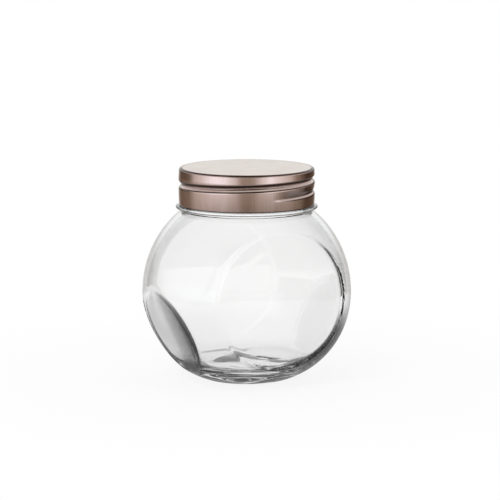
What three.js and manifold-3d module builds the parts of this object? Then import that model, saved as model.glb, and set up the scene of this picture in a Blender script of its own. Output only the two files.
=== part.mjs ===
// A clear glass globe jar with flat pressed sides, closed by a lacquered metal screw lid with a soft liner.
// Millimetres, +Z up. The origin is the centre of the base ring. The label panels face -Y and +Y,
// and the two slanted flats that the jar can lie on face -X and +X.
import * as THREE from 'three';
import { mergeVertices } from 'three/addons/utils/BufferGeometryUtils.js';
import Module from 'manifold-3d';

const wasm = await Module();
wasm.setup();

// Globe
const GLOBE_RADIUS = 53.75;
const GLASS_WALL = 2.6;
const HEEL_RADIUS = 45;
const HEEL_START_ANGLE = 15.22;
const FOOT_RADIUS = 20.77;
const FOOT_ROUND = 6;
const BASE_RING_WIDTH = 4;
const PUNT_DEPTH = 1.8;
const FLOOR_THICKNESS = 9;
const INNER_CORNER_RADIUS = 14;

// Flat sides, each measured from the globe's centre along its own normal
const PANEL_DISTANCE = 40.2;
const TILT_FLAT_DISTANCE = 47.4;
const TILT_FLAT_SLOPE = 25;
const FLAT_EDGE_EASE = 2.2;

// Neck and screw thread
const MOUTH_RADIUS = 30;
const NECK_WALL = 2.7;
const NECK_FOOT_WALL = 3.8;
const NECK_FOOT_COVE = 1.1;
const BEAD_PROUD = 1.45;
const BEAD_ROUND = 0.7;
const BEAD_RISE = 1.9;
const LIP_ROUND = 1.15;
const THREAD_PITCH = 6.4;
const THREAD_HEIGHT = 1.3;
const THREAD_HALF_WIDTH = 1.6;
const THREAD_TURNS = 1.25;
const THREAD_BELOW_LIP = 2.6;
const THREAD_END_ANGLE = 267;
const THREAD_RUN_OUT = 30;
const THREAD_END_SINK = 0.6;

// Lid
const LID_WALL = 0.5;
const LID_HEIGHT = 19.1;
const LID_CORNER = 1.1;
const LID_HEM_HEIGHT = 1.2;
const LID_HEM_EXTRA = 0.2;
const LID_OVER_BEAD = 0.2;
const LID_THREAD_HALF_WIDTH = 2.2;
const LID_THREAD_TURNS = 1.33;
const LID_THREAD_START_ANGLE = 265;
const LID_THREAD_LEAD_IN = 150;
const LID_THREAD_RUN_OUT = 42;

// Liner
const LINER_THICKNESS = 1.4;
const LINER_BEVEL = 0.5;
const LINER_PRESS_DEPTH = 0.3;

// Clearances
const THREAD_CLEARANCE = 0.5;
const THREAD_ROOT_CLEARANCE = 0.35;
const THREAD_FLANK_OFFSET = 2.1;
const SEAT_GAP = 0.1;
const LINER_EDGE_GAP = 0.3;

// Fineness of the facets
const ROUND_SEGMENTS = 56;
const FLAT_SEGMENTS = 36;
const PUNT_STEPS = 2;
const CORNER_STEPS = 3;
const HEEL_STEPS = 6;
const GLOBE_STEPS = 9;
const BEAD_STEPS = 6;
const EDGE_STEPS = 3;
const LID_ROW_STEP = 1;
const THREAD_STEPS_PER_TURN = 40;
const THREAD_STEPS_ACROSS = 5;
const MERGE_DISTANCE = 1e-4;

// Centres of the heel's and the globe's arcs: the heel leaves the globe below its middle and meets the foot
const heelStart = THREE.MathUtils.degToRad(-HEEL_START_ANGLE);
const heelReach = GLOBE_RADIUS - HEEL_RADIUS;
const heelCentreRadius = heelReach * Math.cos(heelStart);
const footReach = HEEL_RADIUS - FOOT_ROUND;
const heelCentreHeight = FOOT_ROUND + Math.sqrt(footReach ** 2 - (FOOT_RADIUS - heelCentreRadius) ** 2);
const globeCentreHeight = heelCentreHeight - heelReach * Math.sin(heelStart);

// Radii of the finish, from the mouth outwards
const neckRadius = MOUTH_RADIUS + NECK_WALL;
const neckFootRadius = MOUTH_RADIUS + NECK_FOOT_WALL;
const threadCrest = neckRadius + THREAD_HEIGHT;
const lidInnerRadius = threadCrest + THREAD_CLEARANCE;
const lidRadius = lidInnerRadius + LID_WALL;
const beadRadius = lidRadius + BEAD_PROUD;
const lidThreadDepth = lidInnerRadius - neckRadius - THREAD_ROOT_CLEARANCE;

// Heights of the finish, from the shoulder up
const shoulderTop = globeCentreHeight + Math.sqrt(GLOBE_RADIUS ** 2 - neckFootRadius ** 2);
const beadCentre = shoulderTop + BEAD_RISE;
const lidBottom = beadCentre + BEAD_ROUND + LID_OVER_BEAD;
const lidTop = lidBottom + LID_HEIGHT;
const linerTop = lidTop - LID_WALL - SEAT_GAP;
const linerBottom = linerTop - LINER_THICKNESS;
const lipTop = linerBottom + LINER_PRESS_DEPTH - SEAT_GAP;
const innerGlobeRadius = GLOBE_RADIUS - GLASS_WALL;

// The helices: height of each thread's middle line at a polar angle that is counted on past a full turn
const threadTopHeight = lipTop - THREAD_BELOW_LIP;
const glassThreadEnd = THREAD_END_ANGLE + 360;
const glassThreadStart = glassThreadEnd - 360 * THREAD_TURNS;
const glassThreadHeight = (angle) => threadTopHeight - (THREAD_PITCH * (glassThreadEnd - angle)) / 360;
const lidThreadHeight = (angle) => glassThreadHeight(angle) - THREAD_FLANK_OFFSET;
const lidThreadEnd = LID_THREAD_START_ANGLE + 360 * LID_THREAD_TURNS;

const glass = new THREE.MeshStandardMaterial({
  color: 0xf3f6f6, roughness: 0.03, metalness: 0, transparent: true, opacity: 0.3,
});
const roseMetal = new THREE.MeshStandardMaterial({ color: 0xa98c82, roughness: 0.34, metalness: 1 });
const linerFoam = new THREE.MeshStandardMaterial({ color: 0xefeeea, roughness: 0.75, metalness: 0 });

const point = (r, h) => new THREE.Vector2(r, h);

// Points of an arc about (r, h), from one angle to another, both ends included
function arc(r, h, radius, fromAngle, toAngle, steps) {
  return Array.from({ length: steps + 1 }, (_, i) => {
    const angle = fromAngle + ((toAngle - fromAngle) * i) / steps;
    return point(r + radius * Math.cos(angle), h + radius * Math.sin(angle));
  });
}

// Heights from one to another in even steps no longer than the given one, without the ends
function between(from, to, step) {
  const count = Math.max(1, Math.ceil(Math.abs(to - from) / step));
  return Array.from({ length: count - 1 }, (_, i) => from + ((to - from) * (i + 1)) / count);
}

// A profile turned about +Z. The profile runs from the axis, up the outside, back to the axis.
function revolve(profile, segments = ROUND_SEGMENTS) {
  return new THREE.LatheGeometry(profile, segments).rotateX(Math.PI / 2);
}

// A closed geometry as a solid for joining and cutting
function solidOf(geometry) {
  const bare = new THREE.BufferGeometry();
  bare.setAttribute('position', geometry.getAttribute('position'));
  bare.setIndex(geometry.getIndex());
  const merged = mergeVertices(bare, MERGE_DISTANCE);
  const corners = merged.getIndex().array;
  const kept = [];
  for (let i = 0; i < corners.length; i += 3) {
    const [a, b, c] = [corners[i], corners[i + 1], corners[i + 2]];
    if (a !== b && b !== c && c !== a) kept.push(a, b, c);
  }
  return new wasm.Manifold(new wasm.Mesh({
    numProp: 3,
    vertProperties: new Float32Array(merged.getAttribute('position').array),
    triVerts: new Uint32Array(kept),
  }));
}

function meshOf(name, solid, material) {
  const { numProp, vertProperties, triVerts } = solid.getMesh();
  const positions = new Float32Array((vertProperties.length / numProp) * 3);
  for (let i = 0; i < positions.length / 3; i += 1) {
    for (let axis = 0; axis < 3; axis += 1) positions[3 * i + axis] = vertProperties[numProp * i + axis];
  }
  const geometry = new THREE.BufferGeometry();
  geometry.setAttribute('position', new THREE.BufferAttribute(positions, 3));
  geometry.setIndex(new THREE.BufferAttribute(new Uint32Array(triVerts), 1));
  geometry.computeVertexNormals();
  const mesh = new THREE.Mesh(geometry, material);
  mesh.name = name;
  return mesh;
}

// 0 before the ramp, 1 after it, with a smooth rise between
const ramp = (value, length) => THREE.MathUtils.smoothstep(value, 0, length);

// 1 on the thread's middle line, 0 at its edges and beyond
function threadBump(offset, halfWidth) {
  return Math.abs(offset) >= halfWidth ? 0 : 0.5 + 0.5 * Math.cos((Math.PI * offset) / halfWidth);
}

// The globe's profile from its floor to the mouth: a corner arc that touches the floor and the heel,
// the heel, and the globe itself. The inset is 0 outside and the wall's thickness inside.
function globeProfile(inset, floorHeight, cornerRadius) {
  const sphereRadius = GLOBE_RADIUS - inset;
  const heelRadius = HEEL_RADIUS - inset;
  const cornerHeight = floorHeight + cornerRadius;
  const cornerReach = heelRadius - cornerRadius;
  const cornerEnd = -Math.asin((heelCentreHeight - cornerHeight) / cornerReach);
  const cornerCentre = heelCentreRadius + cornerReach * Math.cos(cornerEnd);
  const top = Math.acos(MOUTH_RADIUS / sphereRadius);
  return [
    ...arc(cornerCentre, cornerHeight, cornerRadius, -Math.PI / 2, cornerEnd, CORNER_STEPS),
    ...arc(heelCentreRadius, heelCentreHeight, heelRadius, cornerEnd, heelStart, HEEL_STEPS).slice(1),
    ...arc(0, globeCentreHeight, sphereRadius, heelStart, top, GLOBE_STEPS).slice(1),
  ];
}

// The tool that presses one flat side: a disc with an eased rim, turned about the flat's normal
function flatTool(normal, distance, sphereRadius, ease) {
  const rim = Math.sqrt(sphereRadius ** 2 - distance ** 2);
  const easeSlope = Math.tan(Math.asin(rim / sphereRadius) / 2);
  const outer = rim + GLASS_WALL;
  const flatRadius = rim - ease;
  const top = sphereRadius + GLASS_WALL;
  const profile = [
    point(0, distance),
    point(flatRadius, distance),
    point(outer, distance - (outer - flatRadius) * easeSlope),
    point(outer, top),
    point(0, top),
  ];
  const turn = new THREE.Quaternion().setFromUnitVectors(new THREE.Vector3(0, 0, 1), normal);
  return solidOf(revolve(profile, FLAT_SEGMENTS).applyQuaternion(turn).translate(0, 0, globeCentreHeight));
}

function pressFlats(globe, inset, sphereRadius, ease) {
  const slope = THREE.MathUtils.degToRad(TILT_FLAT_SLOPE);
  let pressed = globe;
  for (const side of [-1, 1]) {
    const panelNormal = new THREE.Vector3(0, side, 0);
    const tiltNormal = new THREE.Vector3(side * Math.cos(slope), 0, -Math.sin(slope));
    pressed = pressed.subtract(flatTool(panelNormal, PANEL_DISTANCE - inset, sphereRadius, ease));
    pressed = pressed.subtract(flatTool(tiltNormal, TILT_FLAT_DISTANCE - inset, sphereRadius, ease));
  }
  return pressed;
}

// The screw thread on the neck: a rounded ridge along the helix that sinks into the wall at both ends
function neckThread() {
  const steps = Math.round(THREAD_STEPS_PER_TURN * THREAD_TURNS);
  const shareAcross = (_, i) => (2 * i) / THREAD_STEPS_ACROSS - 1;
  const across = Array.from({ length: THREAD_STEPS_ACROSS + 1 }, shareAcross);
  const sink = neckRadius - THREAD_END_SINK;
  const root = neckRadius - NECK_WALL / 2;
  const positions = [];
  const corners = [];
  const ring = across.length + 2;
  for (let i = 0; i <= steps; i += 1) {
    const angle = glassThreadStart + ((glassThreadEnd - glassThreadStart) * i) / steps;
    const middle = glassThreadHeight(angle);
    const runIn = ramp(angle - glassThreadStart, THREAD_RUN_OUT);
    const run = Math.min(runIn, ramp(glassThreadEnd - angle, THREAD_RUN_OUT));
    const section = across.map((share) => {
      const crest = neckRadius + THREAD_HEIGHT * threadBump(share, 1);
      return [sink + (crest - sink) * run, middle + share * THREAD_HALF_WIDTH];
    });
    section.push([root, middle + THREAD_HALF_WIDTH], [root, middle - THREAD_HALF_WIDTH]);
    const turn = THREE.MathUtils.degToRad(angle);
    for (const [r, h] of section) positions.push(r * Math.cos(turn), r * Math.sin(turn), h);
  }
  for (let i = 0; i < steps; i += 1) {
    for (let j = 0; j < ring; j += 1) {
      const [a, b] = [i * ring + j, i * ring + ((j + 1) % ring)];
      corners.push(a, a + ring, b, b, a + ring, b + ring);
    }
  }
  const last = steps * ring;
  for (let j = 1; j < ring - 1; j += 1) {
    corners.push(0, j, j + 1, last, last + j + 1, last + j);
  }
  const geometry = new THREE.BufferGeometry();
  geometry.setAttribute('position', new THREE.Float32BufferAttribute(positions, 3));
  geometry.setIndex(corners);
  return solidOf(geometry);
}

// Glass jar: pressed globe, neck with bead and thread, and the hollow inside
function glassJar() {
  const ringInside = FOOT_RADIUS - BASE_RING_WIDTH;
  const puntRadius = (ringInside ** 2 + PUNT_DEPTH ** 2) / (2 * PUNT_DEPTH);
  const puntEdge = Math.acos(ringInside / puntRadius);
  const outside = [
    ...arc(0, PUNT_DEPTH - puntRadius, puntRadius, Math.PI / 2, puntEdge, PUNT_STEPS),
    ...globeProfile(0, 0, FOOT_ROUND),
  ];
  outside.push(point(0, outside.at(-1).y));
  const globe = pressFlats(solidOf(revolve(outside)), 0, GLOBE_RADIUS, FLAT_EDGE_EASE);

  const neckBase = shoulderTop - GLASS_WALL;
  const bead = arc(beadRadius - BEAD_ROUND, beadCentre, BEAD_ROUND, -Math.PI / 2, Math.PI / 2, BEAD_STEPS);
  const lip = arc(neckRadius - LIP_ROUND, lipTop - LIP_ROUND, LIP_ROUND, 0, Math.PI / 2, EDGE_STEPS);
  const neck = solidOf(revolve([
    point(0, neckBase), point(neckFootRadius + NECK_FOOT_COVE, neckBase),
    point(neckFootRadius + NECK_FOOT_COVE, shoulderTop - NECK_FOOT_COVE),
    point(neckFootRadius, shoulderTop), point(neckFootRadius, beadCentre - BEAD_ROUND),
    ...bead, point(neckRadius, beadCentre + BEAD_ROUND), ...lip, point(0, lipTop),
  ]));

  const hollow = [
    point(0, FLOOR_THICKNESS),
    ...globeProfile(GLASS_WALL, FLOOR_THICKNESS, INNER_CORNER_RADIUS),
  ];
  hollow.push(point(0, hollow.at(-1).y));
  const room = pressFlats(solidOf(revolve(hollow)), GLASS_WALL, innerGlobeRadius, 0);
  const boreBottom = hollow.at(-1).y - GLASS_WALL;
  const mouthEdge = MOUTH_RADIUS + LIP_ROUND;
  const bore = solidOf(revolve([
    point(0, boreBottom), point(MOUTH_RADIUS, boreBottom),
    ...arc(mouthEdge, lipTop - LIP_ROUND, LIP_ROUND, Math.PI, Math.PI / 2, EDGE_STEPS),
    point(mouthEdge, lipTop + LIP_ROUND), point(0, lipTop + LIP_ROUND),
  ]));
  return globe.add(neck).add(neckThread()).subtract(room).subtract(bore);
}

// Depth of the lid's rolled thread at a polar angle in degrees and a height
function lidThreadSink(angle, height) {
  let sink = 0;
  for (let turned = angle; turned <= lidThreadEnd; turned += 360) {
    if (turned < LID_THREAD_START_ANGLE) continue;
    const run = Math.min(ramp(turned - LID_THREAD_START_ANGLE, LID_THREAD_LEAD_IN),
      ramp(lidThreadEnd - turned, LID_THREAD_RUN_OUT));
    sink = Math.max(sink, run * threadBump(height - lidThreadHeight(turned), LID_THREAD_HALF_WIDTH));
  }
  return sink * lidThreadDepth;
}

// Lid: a drawn metal cup with one thread rolled through its skirt
function lidShell() {
  const innerTop = lidTop - LID_WALL;
  const innerCorner = LID_CORNER - LID_WALL;
  const skirt = (r, from, to) => between(from, to, LID_ROW_STEP).map((h) => point(r, h));
  const hemRadius = lidInnerRadius - LID_HEM_EXTRA;
  const hemTop = lidBottom + LID_HEM_HEIGHT;
  const geometry = revolve([
    point(0, innerTop),
    ...arc(lidInnerRadius - innerCorner, innerTop - innerCorner, innerCorner, Math.PI / 2, 0, EDGE_STEPS),
    ...skirt(lidInnerRadius, innerTop - innerCorner, hemTop + LID_HEM_EXTRA),
    point(lidInnerRadius, hemTop + LID_HEM_EXTRA), point(hemRadius, hemTop), point(hemRadius, lidBottom),
    point(lidRadius, lidBottom),
    ...skirt(lidRadius, lidBottom, lidTop - LID_CORNER),
    ...arc(lidRadius - LID_CORNER, lidTop - LID_CORNER, LID_CORNER, 0, Math.PI / 2, EDGE_STEPS),
    point(0, lidTop),
  ]);
  const position = geometry.getAttribute('position');
  const place = new THREE.Vector3();
  for (let i = 0; i < position.count; i += 1) {
    place.fromBufferAttribute(position, i);
    const r = Math.hypot(place.x, place.y);
    if (r < threadCrest) continue;
    const turn = THREE.MathUtils.radToDeg(Math.atan2(place.y, place.x));
    const angle = THREE.MathUtils.euclideanModulo(turn, 360);
    const share = 1 - lidThreadSink(angle, place.z) / r;
    position.setXY(i, place.x * share, place.y * share);
  }
  return solidOf(geometry);
}

// Liner: a foam disc under the lid's top, pressed in where the lip bears on it
function sealLiner() {
  const edge = lidInnerRadius - LINER_EDGE_GAP;
  const pressInner = MOUTH_RADIUS - SEAT_GAP;
  const pressOuter = neckRadius + SEAT_GAP;
  return solidOf(revolve([
    point(0, linerBottom), point(pressInner - LINER_PRESS_DEPTH, linerBottom),
    point(pressInner, linerBottom + LINER_PRESS_DEPTH), point(pressOuter, linerBottom + LINER_PRESS_DEPTH),
    point(pressOuter + LINER_PRESS_DEPTH, linerBottom), point(edge, linerBottom),
    point(edge, linerTop - LINER_BEVEL), point(edge - LINER_BEVEL, linerTop), point(0, linerTop),
  ]));
}

const jar = new THREE.Group();
jar.add(meshOf('glass_jar', glassJar(), glass));
const lid = new THREE.Group();
lid.add(meshOf('seal_liner', sealLiner(), linerFoam));
lid.add(meshOf('lid_shell', lidShell(), roseMetal));
const airtightJar = new THREE.Group();
airtightJar.add(jar, lid);

export default airtightJar;
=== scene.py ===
# A clear glass globe jar with a brushed rose-bronze screw lid, on a pale floor in soft studio light.
import math

import bpy
import numpy as np
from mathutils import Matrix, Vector


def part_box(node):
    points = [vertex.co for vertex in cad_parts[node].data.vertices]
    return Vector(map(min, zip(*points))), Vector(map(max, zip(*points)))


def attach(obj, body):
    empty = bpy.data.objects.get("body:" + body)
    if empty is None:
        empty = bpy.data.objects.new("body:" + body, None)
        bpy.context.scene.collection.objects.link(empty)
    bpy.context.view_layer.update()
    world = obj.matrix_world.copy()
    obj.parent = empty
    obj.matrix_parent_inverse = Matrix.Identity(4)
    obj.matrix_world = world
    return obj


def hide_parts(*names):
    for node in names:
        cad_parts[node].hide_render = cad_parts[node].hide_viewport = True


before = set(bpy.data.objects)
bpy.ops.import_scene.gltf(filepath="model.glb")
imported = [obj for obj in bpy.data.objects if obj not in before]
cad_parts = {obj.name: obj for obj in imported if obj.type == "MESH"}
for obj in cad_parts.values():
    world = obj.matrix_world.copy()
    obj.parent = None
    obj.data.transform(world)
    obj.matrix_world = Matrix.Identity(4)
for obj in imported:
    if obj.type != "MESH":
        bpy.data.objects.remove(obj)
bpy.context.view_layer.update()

# Glass jar
# One piece of clear soda-lime glass, blown into a mould that presses a round panel into the front and back,
# a slanted flat into each side, a ring into the base, and a bead and a screw thread into the neck.
mm = 0.001
hair = 0.001 * mm  # too short a length to see
globe_radius = 53.75 * mm
globe_centre = 45.3 * mm
globe_middle = np.array([0, 0, globe_centre])
glass_wall = 2.6 * mm
heel_radius = 45 * mm
heel_start = 15.22  # degrees below the globe's middle
foot_round = 6 * mm
base_ring_width = 4 * mm
punt_depth = 1.8 * mm
panel_distance = 40.2 * mm
panel_wall = 2.6 * mm
panel_edge = 0.8 * mm
inner_panel_edge = 1.1 * mm
tilt_distance = 47.4 * mm
tilt_wall = 2.5 * mm
tilt_slope = math.radians(25)
tilt_edge = 0.8 * mm
inner_tilt_edge = 1.2 * mm
tilt_top_edge = 2.1 * mm
# Where the slanted flats' edges soften, as parts of a ray of length 1 from the globe's middle
tilt_top_from = -0.1
tilt_top_rise = 0.12
tilt_top_half_width = 0.3
# The least part of such a ray that points out of a flat, so that the flat's distance along it has an end
least_facing = 0.05
floor_thickness = 9 * mm
inner_round = 14 * mm
wave_height = 0.35 * mm
wave_fade = 9 * mm
calm_middle = 14 * mm
# Swirls are radians a millimetre outward, and starts are radians
two_lobe_swirl, two_lobe_start = 0.22, 0.6
three_lobe_swirl, three_lobe_start = -0.3, 2.1
three_lobe_share = 0.7
mouth_radius = 30 * mm
neck_radius = 32.7 * mm
neck_foot_radius = 33.8 * mm
neck_foot_rise = 0.1 * mm
shoulder_trim = 1.5  # degrees of the globe that the neck's foot takes up
bead_radius = 36.45 * mm
bead_round = 0.7 * mm
bead_rise = 1.9 * mm
lip_round = 1.15 * mm
thread_pitch = 6.4 * mm
thread_height = 1.3 * mm
thread_half_width = 1.6 * mm
thread_below_lip = 2.6 * mm
thread_length = math.radians(360 * 1.25)
thread_end = math.radians(360 + 267)
thread_start = thread_end - thread_length
thread_run_out = math.radians(30)
jar_columns = 264
lip_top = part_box("glass_jar")[1].z
shoulder_top = globe_centre + math.sqrt(globe_radius**2 - neck_foot_radius**2)
bead_centre = shoulder_top + bead_rise
bead_top = bead_centre + bead_round
lip_middle = lip_top - lip_round
thread_top = lip_top - thread_below_lip
thread_low = thread_top - thread_pitch * thread_length / (2 * math.pi)


def on_circle(centre, radius, degrees):
    """The profile point, or points, of a circle about centre (r, z) at an angle, or angles, in degrees."""
    angle = np.radians(degrees)
    return np.stack([centre[0] + radius * np.cos(angle), centre[1] + radius * np.sin(angle)], -1)


def arc(centre, radius, from_angle, to_angle, steps):
    """Profile points on a circle about centre (r, z), at even angles from one to the other, in degrees."""
    return on_circle(centre, radius, np.linspace(from_angle, to_angle, steps + 1))


def straight(start, end, steps):
    """Profile points at even distances on the straight line from start to end, both (r, z)."""
    return np.linspace(start, end, steps + 1)


def profile_of(*stretches):
    """The stretches of a profile one after another, with the points that two stretches share kept once."""
    joined = np.concatenate(stretches)
    apart = np.linalg.norm(np.diff(joined, axis=0), axis=1) > hair
    return joined[np.concatenate([[True], apart])]


def turned(profile, columns):
    """The profile turned about the Z axis: row i, column j is the point i at j steps of the full circle."""
    angle = np.linspace(0, 2 * np.pi, columns, endpoint=False)
    r, z = profile[:, :1], profile[:, 1:]
    return np.stack([r * np.cos(angle), r * np.sin(angle), np.broadcast_to(z, (len(z), columns))], 2)


def skin_points(rows):
    """Rows round the axis as one list: the first pole, then the rings in order, then the last pole."""
    return np.concatenate([rows[0, :1], rows[1:-1].reshape(-1, *rows.shape[2:]), rows[-1, :1]])


def closed_skin(name, rows):
    """A closed mesh from rows of points round the axis, whose first and last rows are points on the axis.
    Each ring is joined to the next by quads, and the end rings to the two poles by triangles."""
    ring_count, columns = rows.shape[0] - 2, rows.shape[1]
    points = skin_points(rows)
    here = np.arange(columns)
    after = (here + 1) % columns
    ring = 1 + columns * np.arange(ring_count - 1)[:, None]
    next_ring = ring + columns
    quads = np.stack([ring + here, ring + after, next_ring + after, next_ring + here], 2).reshape(-1, 4)
    last_ring = 1 + columns * (ring_count - 1)
    first_fan = np.stack([np.zeros_like(here), 1 + after, 1 + here], 1)
    last_fan = np.stack([np.full_like(here, len(points) - 1), last_ring + here, last_ring + after], 1)
    corners = np.concatenate([quads.ravel(), first_fan.ravel(), last_fan.ravel()])
    sizes = np.concatenate([np.full(len(quads), 4), np.full(2 * columns, 3)])
    starts = np.concatenate([[0], np.cumsum(sizes)[:-1]])
    mesh = bpy.data.meshes.new(name)
    mesh.vertices.add(len(points))
    mesh.vertices.foreach_set("co", points.astype(np.float32).ravel())
    mesh.loops.add(len(corners))
    mesh.loops.foreach_set("vertex_index", corners.astype(np.int32))
    mesh.polygons.add(len(sizes))
    mesh.polygons.foreach_set("loop_start", starts.astype(np.int32))
    mesh.polygons.foreach_set("use_smooth", np.ones(len(sizes), bool))
    mesh.update(calc_edges=True)
    mesh.validate()
    piece = bpy.data.objects.new(name, mesh)
    bpy.context.scene.collection.objects.link(piece)
    return piece


def point_value(piece, name, value_of_rows):
    """Keeps one number for each point of a closed skin, from the same rows that the skin was made of."""
    values = skin_points(value_of_rows).astype(np.float32)
    piece.data.attributes.new(name, "FLOAT", "POINT").data.foreach_set("value", values)


def on_curve(place, pairs):
    """The value at a place on the straight lines through pairs of a place and a value."""
    return np.interp(place, *np.transpose(pairs))


def smooth_min(first, second, reach):
    """The smaller of two values, rounded off by a parabola where they differ by less than reach."""
    overlap = np.clip(reach - np.abs(first - second), 0, None) / reach
    return np.minimum(first, second) - overlap**2 * reach / 4


def smooth_step(value, length):
    """0 below 0, 1 above length, and a smooth cubic rise between."""
    share = np.clip(value / length, 0, 1)
    return share * share * (3 - 2 * share)


def tilt_normal(side):
    """The direction that a slanted flat faces: out to one side, -1 or 1, and down by the slope."""
    return np.array([side * math.cos(tilt_slope), 0, -math.sin(tilt_slope)])


def rim_radius(flat_distance):
    """The radius of the circle in which a flat's plane meets the globe."""
    return math.sqrt(globe_radius**2 - flat_distance**2)


def pressed(points, panel_at, panel_round, tilt_at, tilt_round):
    """The globe with its flats: along each ray from the globe's middle the surface lies at the smooth minimum
    of its own distance and of each flat's distance along that ray. The slanted flats' edges are softer at
    their top."""
    ray = points - globe_middle
    distance = np.linalg.norm(ray, axis=2)
    ray = ray / distance[..., None]
    high_enough = smooth_step(ray[..., 2] - tilt_top_from, tilt_top_rise)
    at_middle = smooth_step(tilt_top_half_width - np.abs(ray[..., 1]), tilt_top_half_width)
    soft_round = np.maximum(tilt_round, tilt_top_edge * high_enough * at_middle)
    for side in (-1, 1):
        panel_normal = np.array([0, side, 0])
        flats = ((panel_normal, panel_at, panel_round), (tilt_normal(side), tilt_at, soft_round))
        for normal, flat_at, edge in flats:
            facing = np.maximum(ray @ normal, least_facing)
            distance = smooth_min(distance, flat_at / facing, edge)
    return globe_middle + ray * distance[..., None]


def wavy_floor(points):
    """The thick floor of a blown jar isn't even: a wave of two lobes and a lower one of three, each a sine of
    the angle and the reach, which swirl round the axis and fade out toward the middle and up the wall."""
    angle = np.arctan2(points[..., 1], points[..., 0])
    reach = np.hypot(points[..., 0], points[..., 1])
    two_lobes = np.sin(2 * angle + two_lobe_swirl * reach / mm + two_lobe_start)
    three_lobes = np.sin(3 * angle + three_lobe_swirl * reach / mm + three_lobe_start)
    near_floor = 1 - smooth_step(points[..., 2] - floor_thickness, wave_fade)
    share = near_floor * smooth_step(reach, calm_middle)
    raised = points.copy()
    raised[..., 2] += wave_height * share * (two_lobes + three_lobe_share * three_lobes)
    return raised


def round_helix(points, start, length, middle_at_start):
    """For each turn of a helix that climbs one pitch a turn: how far along it each point lies, in radians
    from its start, and how high above its middle line."""
    angle = np.mod(np.arctan2(points[..., 1], points[..., 0]), 2 * np.pi)
    for turn in range(math.ceil((start + length) / (2 * np.pi))):
        far_along = angle + 2 * np.pi * turn - start
        yield far_along, points[..., 2] - middle_at_start - thread_pitch * far_along / (2 * np.pi)


def thread_bump(points):
    """Height of the neck's thread, 0 to 1: a raised cosine across its middle line, faded at both ends."""
    height = np.zeros(points.shape[:2])
    for far_along, above in round_helix(points, thread_start, thread_length, thread_low):
        fade = smooth_step(far_along, thread_run_out) * smooth_step(thread_length - far_along, thread_run_out)
        across = np.clip(above / thread_half_width, -1, 1)
        height = np.maximum(height, fade * (0.5 + 0.5 * np.cos(np.pi * across)))
    return height


def corner_in(circle_centre, circle_radius, floor_height, corner):
    """The centre of a corner arc that touches a floor and, from inside, a circle, and the angle at which it
    meets the circle, in degrees."""
    rise = circle_centre[1] - floor_height - corner
    reach = circle_radius - corner
    middle = (circle_centre[0] + math.sqrt(reach**2 - rise**2), floor_height + corner)
    return middle, -math.degrees(math.asin(rise / reach))


heel_centre = on_circle((0, globe_centre), globe_radius - heel_radius, -heel_start)
foot_centre, foot_end = corner_in(heel_centre, heel_radius, 0, foot_round)
ring_inside = foot_centre[0] - base_ring_width
punt_radius = (ring_inside**2 + punt_depth**2) / (2 * punt_depth)
punt_angle = math.degrees(math.asin(ring_inside / punt_radius))
shoulder_angle = math.degrees(math.asin((shoulder_top - globe_centre) / globe_radius)) - shoulder_trim
shoulder_end = on_circle((0, globe_centre), globe_radius, shoulder_angle)
neck_foot = (neck_foot_radius, shoulder_top + neck_foot_rise)
bead_middle = (bead_radius - bead_round, bead_centre)
outer_globe = profile_of(
    arc((0, punt_depth - punt_radius), punt_radius, 90, 90 - punt_angle, steps=12),
    straight((ring_inside, 0), (foot_centre[0], 0), steps=5),
    arc(foot_centre, foot_round, -90, foot_end, steps=8),
    arc(heel_centre, heel_radius, foot_end, -heel_start, steps=44),
    arc((0, globe_centre), globe_radius, -heel_start, shoulder_angle, steps=68),
)
neck_outside = profile_of(
    straight(shoulder_end, neck_foot, steps=5)[1:],
    straight(neck_foot, (neck_foot_radius, bead_centre - bead_round), steps=3),
    arc(bead_middle, bead_round, -90, 90, steps=18),
    straight((bead_middle[0], bead_top), (neck_radius, bead_top), steps=4),
    straight((neck_radius, bead_top), (neck_radius, lip_middle), steps=44),
)
inner_globe_radius = globe_radius - glass_wall
inner_heel_radius = heel_radius - glass_wall
inner_corner, inner_corner_end = corner_in(heel_centre, inner_heel_radius, floor_thickness, inner_round)
bore_foot = globe_centre + math.sqrt(inner_globe_radius**2 - mouth_radius**2)
inner_shoulder = math.degrees(math.asin((bore_foot - globe_centre) / inner_globe_radius))
neck_inside = profile_of(
    arc((neck_radius - lip_round, lip_middle), lip_round, 0, 90, steps=8)[1:],
    arc((mouth_radius + lip_round, lip_middle), lip_round, 90, 180, steps=8),
    straight((mouth_radius, lip_middle), (mouth_radius, bore_foot), steps=16),
)
inner_globe = profile_of(
    arc((0, globe_centre), inner_globe_radius, inner_shoulder, -heel_start, steps=64)[1:],
    arc(heel_centre, inner_heel_radius, -heel_start, inner_corner_end, steps=32),
    arc(inner_corner, inner_round, inner_corner_end, -90, steps=14),
    straight((inner_corner[0], floor_thickness), (0, floor_thickness), steps=10),
)
neck_rows = turned(neck_outside, jar_columns)
on_neck = np.abs(np.hypot(neck_rows[..., 0], neck_rows[..., 1]) - neck_radius) < hair
neck_rows[..., :2] *= (1 + on_neck * thread_bump(neck_rows) * thread_height / neck_radius)[..., None]
outer_rows = pressed(turned(outer_globe, jar_columns), panel_distance, panel_edge, tilt_distance, tilt_edge)
inner_rows = pressed(turned(inner_globe, jar_columns), panel_distance - panel_wall, inner_panel_edge,
                     tilt_distance - tilt_wall, inner_tilt_edge)
jar_rows = np.concatenate([outer_rows, neck_rows, turned(neck_inside, jar_columns), wavy_floor(inner_rows)])
glass_jar = closed_skin("glass_jar_body", jar_rows)

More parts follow.
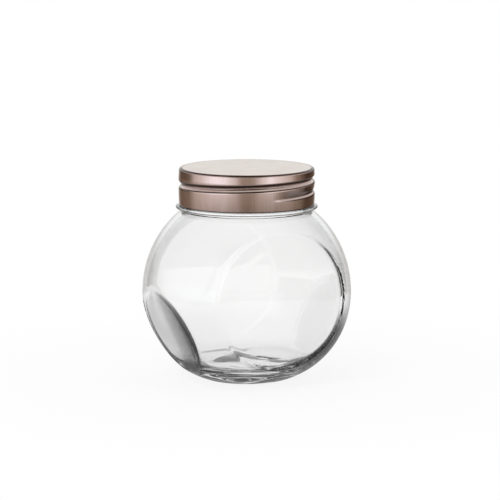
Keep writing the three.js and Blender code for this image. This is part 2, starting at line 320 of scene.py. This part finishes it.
# Shade painted into the left slanted flat's colour, at places from its middle, 0, to its front edge, 1; a
# value below 0 paints it lighter
frontward_painted_shade = [(-0.3, -0.4), (0, -0.1), (0.1, 0.1), (0.22, 0.5), (0.45, 0.72), (0.65, 0.85),
                   (0.8, 0.98), (1, 1)]
shade_gap = 0.1 * mm
shade_fade = 0.9 * mm
edge_darkest = 0.65
line_darkest = 0.95
line_half_width, line_fade_end = 0.2 * mm, 0.7 * mm
front_line_inset = 0.3 * mm
clear_foot, clear_foot_end = 2 * mm, 14 * mm
# How far the glass is seen from the side, from 0, head-on, to 1, edge-on
slant_from, slant_full = 0.3, 0.65
edge_from, edge_full = 0.5, 1
# Where a rim's painted line of shade starts and is full: as shares of its flat's distance, and of the way to
# its darkest point
line_flat_from, line_flat_full = 0.8, 0.9
line_side_full = 0.4
low_right_slope = math.radians(35)
low_right = (math.cos(low_right_slope), 0, -math.sin(low_right_slope))
glass_tint = (0.03, 0.06, 0.05, 1)
tint_density = 1.5


def painted_flat_shade(points):
    """How much shade is painted into the left slanted flat's colour: full shade at its front edge, fading to
    none at its middle and a little painted light behind it, and 0 outside the flat."""
    normal = tilt_normal(-1)
    from_flat = points - globe_middle - normal * tilt_distance
    on_flat = 1 - smooth_step(np.abs(from_flat @ normal) - shade_gap, shade_fade)
    return on_flat * on_curve(-from_flat[..., 1] / rim_radius(tilt_distance), frontward_painted_shade)


def new_material(name):
    """A new material with nodes, and its Principled shader."""
    material = bpy.data.materials.new(name)
    material.use_nodes = True
    return material, material.node_tree.nodes["Principled BSDF"]


def feed(owner, socket, value):
    """Links another node's result to an input of a material or of the sky, or sets a plain value on it."""
    if isinstance(value, bpy.types.NodeSocket):
        owner.node_tree.links.new(value, socket)
    else:
        socket.default_value = value


def add_node(owner, kind, *values, operation=None):
    """One node of a material or of the sky, with values for its inputs in order."""
    node = owner.node_tree.nodes.new(kind)
    if operation:
        node.operation = operation
    for socket, value in zip(node.inputs, values):
        feed(owner, socket, value)
    return node


def add_math(owner, operation, *values, clamp=False):
    """The result of one math node, kept from 0 to 1 where clamp is true."""
    node = add_node(owner, "ShaderNodeMath", *values, operation=operation)
    node.use_clamp = clamp
    return node.outputs[0]


def add_vector(owner, operation, *values):
    """The two results of one vector math node, named Vector and Value."""
    return add_node(owner, "ShaderNodeVectorMath", *values, operation=operation).outputs


def add_range(owner, value, *limits, smooth=False):
    """A value carried over from one range to another: from low, from high, to low, to high."""
    node = add_node(owner, "ShaderNodeMapRange", value, *limits)
    node.interpolation_type = "SMOOTHSTEP" if smooth else "LINEAR"
    return node.outputs[0]


clear_glass, glass_shader = new_material("clear_glass")
edge_on = add_node(clear_glass, "ShaderNodeLayerWeight").outputs["Facing"]
glass_place = add_node(clear_glass, "ShaderNodeTexCoord").outputs["Object"]
from_middle = add_vector(clear_glass, "SUBTRACT", glass_place, globe_middle)["Vector"]


def along(direction):
    """How far a point of the glass lies from the globe's middle along a direction."""
    return add_vector(clear_glass, "DOT_PRODUCT", from_middle, direction)["Value"]


def both(first, second):
    """The product of two shades of the glass."""
    return add_math(clear_glass, "MULTIPLY", first, second)


def painted_rim_line(normal, flat_distance, inset, stronger_toward):
    """A thin line of shade painted into the glass's colour on the edge of a flat, strongest toward one side.
    It lies on a circle that is smaller by the inset than the one where the plane meets the globe."""
    line_radius = rim_radius(flat_distance) - inset
    off_axis = add_vector(clear_glass, "CROSS_PRODUCT", from_middle, normal)["Vector"]
    reach = add_vector(clear_glass, "LENGTH", off_axis)["Value"]
    off_line = add_math(clear_glass, "ABSOLUTE", add_math(clear_glass, "SUBTRACT", reach, line_radius))
    line = add_range(clear_glass, off_line, line_half_width, line_fade_end, 1, 0)
    outward = add_math(clear_glass, "DIVIDE", along(normal), flat_distance)
    this_flat = add_range(clear_glass, outward, line_flat_from, line_flat_full, 0, 1)
    full_side = line_side_full * line_radius
    this_side = add_range(clear_glass, along(stronger_toward), 0, full_side, 0, line_darkest)
    return both(line, both(this_flat, this_side))


# The left flat's painted shade, kept for each point and laid on where the glass is seen slanted
point_value(glass_jar, "painted_flat_shade", painted_flat_shade(jar_rows))
stored_painted_shade = add_node(clear_glass, "ShaderNodeAttribute")
stored_painted_shade.attribute_name = "painted_flat_shade"
at_slant = add_range(clear_glass, edge_on, slant_from, slant_full, 0, 1)
glass_height = add_node(clear_glass, "ShaderNodeSeparateXYZ", glass_place).outputs["Z"]
above_foot = add_range(clear_glass, glass_height, clear_foot, clear_foot_end, 0, 1)
# Painted shade: the glass's colour is greyed where it is seen edge-on, and not at its foot
painted_edge_shade = both(add_range(clear_glass, edge_on, edge_from, edge_full, 0, edge_darkest), above_foot)
left_painted_shade = both(stored_painted_shade.outputs["Fac"], at_slant)
# Painted lines of shade on the front panel's rim and on the left flat's rim
painted_front_line = painted_rim_line((0, -1, 0), panel_distance, front_line_inset, low_right)
painted_left_line = both(painted_rim_line(tilt_normal(-1), tilt_distance, 0, (0, -1, 0)), at_slant)
painted_line_shade = add_math(clear_glass, "MAXIMUM", painted_front_line, painted_left_line)
edge_clear, left_clear, line_clear = [
    add_math(clear_glass, "SUBTRACT", 1, shade) for shade in (painted_edge_shade, left_painted_shade, painted_line_shade)]
clear_share = add_math(clear_glass, "MULTIPLY", edge_clear, both(left_clear, line_clear), clamp=True)
feed(clear_glass, glass_shader.inputs["Base Color"], clear_share)
glass_shader.inputs["Roughness"].default_value = 0
glass_shader.inputs["IOR"].default_value = 1.5
glass_shader.inputs["Transmission Weight"].default_value = 1
glass_depth = add_node(clear_glass, "ShaderNodeVolumeAbsorption")
glass_depth.inputs["Color"].default_value = glass_tint
glass_depth.inputs["Density"].default_value = tint_density
feed(clear_glass, clear_glass.node_tree.nodes["Material Output"].inputs["Volume"], glass_depth.outputs[0])
glass_jar.data.materials.append(clear_glass)
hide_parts("glass_jar")
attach(glass_jar, "jar")

# Seal liner
# A disc of white closed-cell foam, cut to fit inside the lid and held there by its edge.
# The glass lip has pressed a shallow ring into its underside.
liner_low, liner_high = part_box("seal_liner")
liner_radius = 34.2 * mm
liner_bevel = 0.5 * mm
press_depth = 0.3 * mm
press_gap = 0.1 * mm
cells_per_metre = 1200
cell_depth = 0.1 * mm
cell_spread = (0, 0.8)
foam_dark, foam_light = 0.8, 0.89
foam_cream = 0.965
liner_columns = 192
press_inner = mouth_radius - press_gap
press_outer = neck_radius + press_gap
press_top = liner_low.z + press_depth
liner_profile = profile_of(
    straight((0, liner_low.z), (press_inner - press_depth, liner_low.z), steps=24),
    straight((press_inner - press_depth, liner_low.z), (press_inner, press_top), steps=4),
    straight((press_inner, press_top), (press_outer, press_top), steps=8),
    straight((press_outer, press_top), (press_outer + press_depth, liner_low.z), steps=4),
    straight((press_outer + press_depth, liner_low.z), (liner_radius, liner_low.z), steps=2),
    straight((liner_radius, liner_low.z), (liner_radius, liner_high.z - liner_bevel), steps=4),
    arc((liner_radius - liner_bevel, liner_high.z - liner_bevel), liner_bevel, 0, 90, steps=5),
    straight((liner_radius - liner_bevel, liner_high.z), (0, liner_high.z), steps=16),
)
seal_liner = closed_skin("seal_liner_disc", turned(liner_profile, liner_columns))


def add_relief(material, shader, height, strength, depth):
    """A fine relief on a material, from a height that changes over its surface."""
    bump = add_node(material, "ShaderNodeBump")
    bump.inputs["Strength"].default_value = strength
    bump.inputs["Distance"].default_value = depth
    feed(material, bump.inputs["Height"], height)
    feed(material, shader.inputs["Normal"], bump.outputs[0])


liner_foam, foam_shader = new_material("liner_foam")
foam_shader.inputs["Roughness"].default_value = 0.75
foam_place = add_node(liner_foam, "ShaderNodeTexCoord").outputs["Object"]
foam_cells = add_node(liner_foam, "ShaderNodeTexVoronoi", foam_place)
foam_cells.inputs["Scale"].default_value = cells_per_metre
foam_grey = add_range(liner_foam, foam_cells.outputs["Distance"], *cell_spread, foam_dark, foam_light)
foam_blue = add_math(liner_foam, "MULTIPLY", foam_grey, foam_cream)
foam_colour = add_node(liner_foam, "ShaderNodeCombineColor", foam_grey, foam_grey, foam_blue)
feed(liner_foam, foam_shader.inputs["Base Color"], foam_colour.outputs[0])
add_relief(liner_foam, foam_shader, foam_cells.outputs["Distance"], strength=0.3, depth=cell_depth)
seal_liner.data.materials.append(liner_foam)
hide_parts("seal_liner")
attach(seal_liner, "liner")

# Lid
# One drawn metal cup, brushed and lacquered rose bronze, with a single right-hand thread rolled through its
# skirt. It screws down over the neck until its liner meets the lip.
lid_low, lid_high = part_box("lid_shell")
lid_radius = 35 * mm
lid_wall = 0.5 * mm
lid_corner = 1.1 * mm
hem_height = 1.2 * mm
hem_extra = 0.2 * mm
band_taper = 0.3 * mm
band_height = 4.5 * mm
skirt_tuck = 0.28 * mm
skirt_height = 9 * mm
groove_start = math.radians(265)
groove_length = math.radians(360 * 1.33)
groove_run_in = math.radians(25)
groove_run_out = math.radians(42)
groove_full_depth = math.radians(200)
flank_offset = 2.1 * mm
# Depth of the groove and the shade painted into its colour, at heights from its middle line, where it starts
# and where it is full
first_cut = [(-1.3, 0), (-0.8, 0.12), (0, 0.75), (1.5, 0.5), (4, 0)]
full_cut = [(-2.3, 0), (-1.9, 0.05), (-1.4, 0.3), (0, 1.45), (1, 0.85), (1.8, 0.1), (2.1, 0)]
first_painted_shade = [(-1.5, 0), (-1.3, 1), (-1, 1), (-0.8, 0), (-0.3, 0), (0.3, 0.65), (4, 0)]
full_painted_shade = [(-2, 0), (-1.8, 1), (-1.45, 1), (-1.25, 0), (0.5, 0), (0.9, 1), (1.6, 1), (2.1, 0)]
# Shade painted in a line below the lid's top edge, at depths from it
top_edge_painted_shade = [(0, 0.6), (0.08, 1), (0.5, 1), (0.85, 0)]
hem_dark_top, hem_shade_top = 0.2 * mm, 0.8 * mm
rose_dark = (0.58, 0.44, 0.4, 1)
rose_light = (0.65, 0.505, 0.465, 1)
hem_shadow_colour = (0.05, 0.035, 0.03, 1)
painted_shade_dark = (0.04, 0.022, 0.016, 1)
skirt_stretch = (85, 60, 0)
top_stretch = (60, 1800, 0)
handled_stretch = (90, 90, 90)
grain_spread = (0.3, 0.7)
brushed_rough = (0.14, 0.22)
handled_rough = (-0.03, 0.05)
top_facing = (0.6, 0.9)
scratch_depth = 0.05 * mm
lid_columns = 360
lid_inner = lid_radius - lid_wall
lid_inner_corner = lid_corner - lid_wall
lid_ceiling = lid_high.z - lid_wall
hem_inner = lid_inner - hem_extra
hem_top = lid_low.z + hem_height
hem_middle = lid_low.z + hem_extra
corner_middle = lid_high.z - lid_corner
lid_profile = profile_of(
    straight((0, lid_ceiling), (lid_inner - lid_inner_corner, lid_ceiling), steps=12),
    arc((lid_inner - lid_inner_corner, lid_ceiling - lid_inner_corner), lid_inner_corner, 90, 0, steps=5),
    straight((lid_inner, lid_ceiling - lid_inner_corner), (lid_inner, hem_top + hem_extra), steps=52),
    straight((lid_inner, hem_top + hem_extra), (hem_inner, hem_top), steps=2),
    straight((hem_inner, hem_top), (hem_inner, hem_middle), steps=3),
    arc((hem_inner + hem_extra, hem_middle), hem_extra, 180, 270, steps=4),
    arc((lid_radius - hem_extra, hem_middle), hem_extra, -90, 0, steps=4),
    straight((lid_radius, hem_middle), (lid_radius, corner_middle), steps=84),
    arc((lid_radius - lid_corner, corner_middle), lid_corner, 0, 90, steps=12),
    straight((lid_radius - lid_corner, lid_high.z), (0, lid_high.z), steps=24),
)
lid_rows = turned(lid_profile, lid_columns)
groove_low = thread_top - thread_pitch * (thread_end - groove_start) / (2 * math.pi) - flank_offset


def along_groove(points, first, full):
    """A value across the groove, from pairs of a height above its middle line, in millimetres, and a value.
    The line climbs one pitch a turn, and the first section turns into the full one along it. Both ends of the
    groove fade out."""
    total = np.zeros(points.shape[:2])
    for far_along, above in round_helix(points, groove_start, groove_length, groove_low):
        at_first = on_curve(above / mm, first)
        at_full = on_curve(above / mm, full)
        fade = smooth_step(far_along, groove_run_in) * smooth_step(groove_length - far_along, groove_run_out)
        total += fade * (at_first + (at_full - at_first) * smooth_step(far_along, groove_full_depth))
    return total


lid_reach = np.hypot(lid_rows[..., 0], lid_rows[..., 1])
on_skirt = lid_reach > neck_radius + thread_height
in_band = np.clip((lid_rows[..., 2] - lid_high.z + band_height) / band_height, 0, 1)
down_skirt = np.clip((lid_low.z + skirt_height - lid_rows[..., 2]) / skirt_height, 0, 1)
drawn_in = band_taper * in_band + skirt_tuck * down_skirt**2
moved_in = on_skirt * (along_groove(lid_rows, first_cut, full_cut) * mm + drawn_in)
under_top = on_curve((lid_high.z - lid_rows[..., 2]) / mm, top_edge_painted_shade)
# Painted shade: dark on the groove's upper flank, a thin dark line at its lower edge, and a dark line under
# the top edge
lid_shade = on_skirt * np.maximum(along_groove(lid_rows, first_painted_shade, full_painted_shade), under_top)
lid_rows[..., :2] *= (1 - moved_in / np.maximum(lid_reach, neck_radius))[..., None]
lid = closed_skin("lid_cup", lid_rows)
point_value(lid, "lid_painted_shade", lid_shade)

rose_metal, metal_shader = new_material("rose_metal")
metal_shader.inputs["Metallic"].default_value = 1


def metal_grain(place, stretch):
    """Noise over the metal, stretched along the direction in which it was brushed."""
    stretched = add_vector(rose_metal, "MULTIPLY", place, stretch)["Vector"]
    noise = add_node(rose_metal, "ShaderNodeTexNoise", stretched)
    noise.inputs["Scale"].default_value = 1
    noise.inputs["Detail"].default_value = 3
    return noise.outputs[0]


def add_mix(owner, share, first, second):
    """One colour mix of a material or of the sky, fed by sockets, by colours or by levels of grey."""
    mix = add_node(owner, "ShaderNodeMix", share)
    mix.data_type = "RGBA"
    colour_inputs, colour_result = mix.inputs[6:8], mix.outputs[2]
    for socket, value in zip(colour_inputs, (first, second)):
        is_grey = isinstance(value, (int, float))
        feed(owner, socket, (value, value, value, 1) if is_grey else value)
    return colour_result


lid_place = add_node(rose_metal, "ShaderNodeTexCoord")
lid_split = add_node(rose_metal, "ShaderNodeSeparateXYZ", lid_place.outputs["Object"])
lid_facing = add_node(rose_metal, "ShaderNodeSeparateXYZ", lid_place.outputs["Normal"])
round_lid = add_math(rose_metal, "ARCTAN2", lid_split.outputs["Y"], lid_split.outputs["X"])
on_wall = add_node(rose_metal, "ShaderNodeCombineXYZ", round_lid, lid_split.outputs["Z"])
skirt_grain = metal_grain(on_wall.outputs[0], skirt_stretch)
top_grain = metal_grain(lid_place.outputs["Object"], top_stretch)
handled = metal_grain(lid_place.outputs["Object"], handled_stretch)
on_top = add_range(rose_metal, lid_facing.outputs["Z"], *top_facing)
grain = add_mix(rose_metal, on_top, skirt_grain, top_grain)
rose = add_mix(rose_metal, add_range(rose_metal, grain, *grain_spread), rose_dark, rose_light)
# Painted shadow along the bottom of the hem, where the lid meets the glass bead
above_hem = add_range(rose_metal, lid_split.outputs["Z"], lid_low.z + hem_dark_top, lid_low.z + hem_shade_top)
hem_shadowed = add_mix(rose_metal, above_hem, hem_shadow_colour, rose)
# The lid's painted shade darkens its colour in the groove and under the top edge
lid_painted_shade = add_node(rose_metal, "ShaderNodeAttribute")
lid_painted_shade.attribute_name = "lid_painted_shade"
shaded = add_mix(rose_metal, lid_painted_shade.outputs["Fac"], hem_shadowed, painted_shade_dark)
feed(rose_metal, metal_shader.inputs["Base Color"], shaded)
brushed_part = add_range(rose_metal, grain, *grain_spread, *brushed_rough)
handled_part = add_range(rose_metal, handled, *grain_spread, *handled_rough)
feed(rose_metal, metal_shader.inputs["Roughness"], add_math(rose_metal, "ADD", brushed_part, handled_part))
add_relief(rose_metal, metal_shader, grain, strength=0.08, depth=scratch_depth)
lid.data.materials.append(rose_metal)
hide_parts("lid_shell")
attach(lid, "lid")

# Floor
# A plain pale round table top, which the jar stands on and throws its shadow on. It is white to the camera
# and straight through the glass, dark near the jar to light that bounced in the glass, and grey in the lid.
floor_radius = 300 * mm
floor_top = -0.3 * mm
floor_underside = -4 * mm
floor_grey = (0.9, 0.9, 0.9, 1)
white = (1, 1, 1, 1)
shadow_reach, shadow_end = 50 * mm, 260 * mm
least_glow = 0.88
bounced_reach, bounced_end = 80 * mm, 220 * mm
bounced_light = 0.04
mirrored_light = 0.4
floor_columns = 96
floor_profile = profile_of(
    straight((0, floor_underside), (floor_radius, floor_underside), steps=4),
    straight((floor_radius, floor_underside), (floor_radius, floor_top), steps=1),
    straight((floor_radius, floor_top), (0, floor_top), steps=12),
)
floor = closed_skin("floor", turned(floor_profile, floor_columns))
pale_floor, floor_shader = new_material("pale_floor")
floor_shader.inputs["Base Color"].default_value = floor_grey
floor_shader.inputs["Roughness"].default_value = 0.8


def glow_over(look, share, strength):
    """A look of the floor with a plain white glow laid over it by a share."""
    glow = add_node(pale_floor, "ShaderNodeEmission", white, strength).outputs[0]
    return add_node(pale_floor, "ShaderNodeMixShader", share, look, glow).outputs[0]


floor_path = add_node(pale_floor, "ShaderNodeLightPath").outputs
through_glass = floor_path["Is Transmission Ray"]
floor_place = add_node(pale_floor, "ShaderNodeTexCoord").outputs["Object"]
floor_reach = add_vector(pale_floor, "LENGTH", floor_place)["Value"]
seen_direct = add_math(pale_floor, "MAXIMUM", floor_path["Is Camera Ray"], through_glass)
off_shadow = add_range(pale_floor, floor_reach, shadow_reach, shadow_end, least_glow, 1, smooth=True)
glow_share = add_math(pale_floor, "MULTIPLY", seen_direct, off_shadow)
bounced_inside = add_math(pale_floor, "MULTIPLY", floor_path["Glossy Depth"], through_glass, clamp=True)
bounced_glow = add_range(pale_floor, floor_reach, bounced_reach, bounced_end, bounced_light, 1, smooth=True)
mirrored_only = add_math(pale_floor, "SUBTRACT", floor_path["Is Glossy Ray"], through_glass, clamp=True)
floor_look = glow_over(floor_shader.outputs[0], glow_share, 1)
floor_look = glow_over(floor_look, bounced_inside, bounced_glow)
floor_look = glow_over(floor_look, mirrored_only, mirrored_light)
feed(pale_floor, pale_floor.node_tree.nodes["Material Output"].inputs["Surface"], floor_look)
floor.data.materials.append(pale_floor)

# Camera
# A long lens a metre and a half away, to the left of the front panel.
# It looks down by not quite ten degrees, as the photograph does.
view_turn = math.radians(-25.5)
view_rise = math.radians(9.61)
view_distance = 1.5
view_height = 45 * mm
focal_length = 209.3
film_width = 36
aim_right = 1.69 * mm
aim_up = 20.8 * mm
backward = Vector((math.sin(view_turn) * math.cos(view_rise), -math.cos(view_turn) * math.cos(view_rise),
                   math.sin(view_rise)))
rightward = Vector((math.cos(view_turn), math.sin(view_turn), 0))
upward = backward.cross(rightward)
camera = bpy.data.objects.new("camera", bpy.data.cameras.new("camera"))
camera.data.lens = focal_length
camera.data.sensor_width = film_width
camera.data.clip_start = 10 * mm
camera.location = Vector((0, 0, view_height)) + backward * view_distance
aim = Vector((0, 0, view_height)) + rightward * aim_right + upward * aim_up
camera.rotation_euler = (aim - camera.location).to_track_quat("-Z", "Y").to_euler()
bpy.context.scene.collection.objects.link(camera)
bpy.context.scene.camera = camera

# Light
# A white studio: white to the camera, white through the glass apart from four narrow corners, and dark at the
# sides and overhead to light that bounced inside it. The metal mirrors two soft panels with dark gaps beside
# them, and a ceiling that is dark above the camera and light overhead. A lamp gives the shadow.
soft_light = 0.8
panel_foot_shade = 0.5
ceiling_side_grey = 0.75
corner_grey = 0.2
warmth = (1, 1.18, 1.38)
ceiling_tint = (1, 1.07, 1.05)
# Where one part of the studio fades into the next, as parts of a ray of length 1 up or to a side
panel_swap = (-0.14, -0.05)
panel_foot = (-0.28, -0.17)
ceiling_start = (0.02, 0.2)
ceiling_sides = (0.35, 0.6)
inside_sides = (0.4, 0.75)
inside_overhead = (0.45, 0.8)
# The corners are where a cosine with four waves round the studio is lowest
studio_corners = (-0.5, -0.9)
# Brightness of the panels round the studio: 0 is behind the jar, 0.25 left, 0.5 at the camera, 0.75 right
behind_left = [(0, 0.9)]
behind_right = [(1, 0.9)]
low_left_side = [(0.09, 0.2), (0.175, 0.29), (0.244, 0.68), (0.3, 0.79), (0.35, 0.84), (0.394, 0.8),
                 (0.44, 0.68)]
low_gap = [(0.485, 0.4), (0.52, 0.41)]
low_right_side = [(0.566, 0.62), (0.61, 0.6), (0.656, 0.53), (0.706, 0.53), (0.764, 0.36), (0.836, 0.11),
                  (0.92, 0.15)]
high_left_side = [(0.095, 0.08), (0.18, 0.15), (0.244, 0.9), (0.35, 1.6), (0.4, 1.55), (0.44, 1.15)]
high_gap = [(0.48, 0.4), (0.523, 0.4)]
high_right_side = [(0.58, 1.15), (0.61, 1.5), (0.66, 1.2), (0.706, 0.95), (0.764, 0.3), (0.836, 0.06),
                   (0.92, 0.1)]
# Brightness of the ceiling: 0 is level, toward the camera, and 0.5 straight up
ceiling_levels = [(0, 0.7), (0.09, 0.6), (0.13, 0.04), (0.3, 0.02), (0.34, 0.6), (0.42, 0.9), (0.54, 1)]
studio = bpy.data.worlds.new("studio")
studio.use_nodes = True
bpy.context.scene.world = studio


def sky_ramp(share, levels, tint=white):
    """A smooth ramp of the sky: pairs of a place from 0 to 1 and a brightness, warmer where it is darker."""
    ramp = add_node(studio, "ShaderNodeValToRGB", share)
    ramp.color_ramp.interpolation = "EASE"
    elements = ramp.color_ramp.elements
    elements.remove(elements[1])
    for place, level in levels:
        element = elements.new(place) if place > 0 else elements[0]
        element.color = [part * level**power for part, power in zip(tint, warmth)] + [1]
    return ramp.outputs[0]


def sky_fade(value, limits, first, second):
    """A smooth change of the sky from one level to another, as the value goes from limit to limit."""
    return add_range(studio, value, *limits, first, second, smooth=True)


sky_path = add_node(studio, "ShaderNodeLightPath").outputs
to_camera = add_node(studio, "ShaderNodeMapping", add_node(studio, "ShaderNodeTexCoord").outputs["Generated"])
to_camera.inputs["Rotation"].default_value[2] = -view_turn
split = add_node(studio, "ShaderNodeSeparateXYZ", to_camera.outputs[0]).outputs
height_of_ray = split["Z"]
sideways = add_math(studio, "ABSOLUTE", split["X"])
toward = add_math(studio, "MULTIPLY", split["Y"], -1)
azimuth = add_math(studio, "ARCTAN2", split["X"], toward)
round_share = add_math(studio, "ADD", add_math(studio, "DIVIDE", azimuth, 2 * math.pi), 0.5)
low_panels = sky_ramp(round_share, behind_left + low_left_side + low_gap + low_right_side + behind_right)
high_panels = sky_ramp(round_share, behind_left + high_left_side + high_gap + high_right_side + behind_right)
pitch = add_math(studio, "ARCTAN2", height_of_ray, toward)
ceiling = sky_ramp(add_math(studio, "DIVIDE", pitch, math.pi), ceiling_levels, ceiling_tint)
ceiling = add_mix(studio, sky_fade(sideways, ceiling_sides, 0, 1), ceiling, ceiling_side_grey)
panels = add_mix(studio, sky_fade(height_of_ray, panel_swap, 0, 1), low_panels, high_panels)
panels = add_mix(studio, sky_fade(height_of_ray, panel_foot, panel_foot_shade, 0), panels, 0)
mirrored = add_mix(studio, sky_fade(height_of_ray, ceiling_start, 0, 1), panels, ceiling)
beside = sky_fade(sideways, inside_sides, 1, bounced_light)
overhead = sky_fade(height_of_ray, inside_overhead, 1, bounced_light)
bounced = add_math(studio, "MINIMUM", sky_path["Glossy Depth"], 1)
four_sided = add_math(studio, "COSINE", add_math(studio, "MULTIPLY", azimuth, 4))
white_walls = sky_fade(four_sided, studio_corners, 1, corner_grey)
through = add_mix(studio, bounced, white_walls, add_math(studio, "MULTIPLY", beside, overhead))
lit = add_mix(studio, sky_path["Is Glossy Ray"], soft_light, mirrored)
lit = add_mix(studio, sky_path["Is Transmission Ray"], lit, through)
seen = add_mix(studio, sky_path["Is Camera Ray"], lit, 1)
background = studio.node_tree.nodes["Background"]
feed(studio, background.inputs["Color"], seen)
background.inputs["Strength"].default_value = 1

lamp = bpy.data.objects.new("key_light", bpy.data.lights.new("key_light", "AREA"))
lamp.data.shape = "DISK"
lamp.data.size = 0.9
lamp.data.energy = 6
lamp.location = (-0.9, -0.5, 1.3)
lamp.rotation_euler = (-lamp.location).to_track_quat("-Z", "Y").to_euler()
lamp.visible_glossy = False
lamp.visible_transmission = False
bpy.context.scene.collection.objects.link(lamp)

light_bounces = 32
bpy.context.scene.cycles.max_bounces = light_bounces
bpy.context.scene.cycles.glossy_bounces = light_bounces
bpy.context.scene.cycles.transmission_bounces = light_bounces
bpy.context.scene.view_settings.view_transform = "Standard"
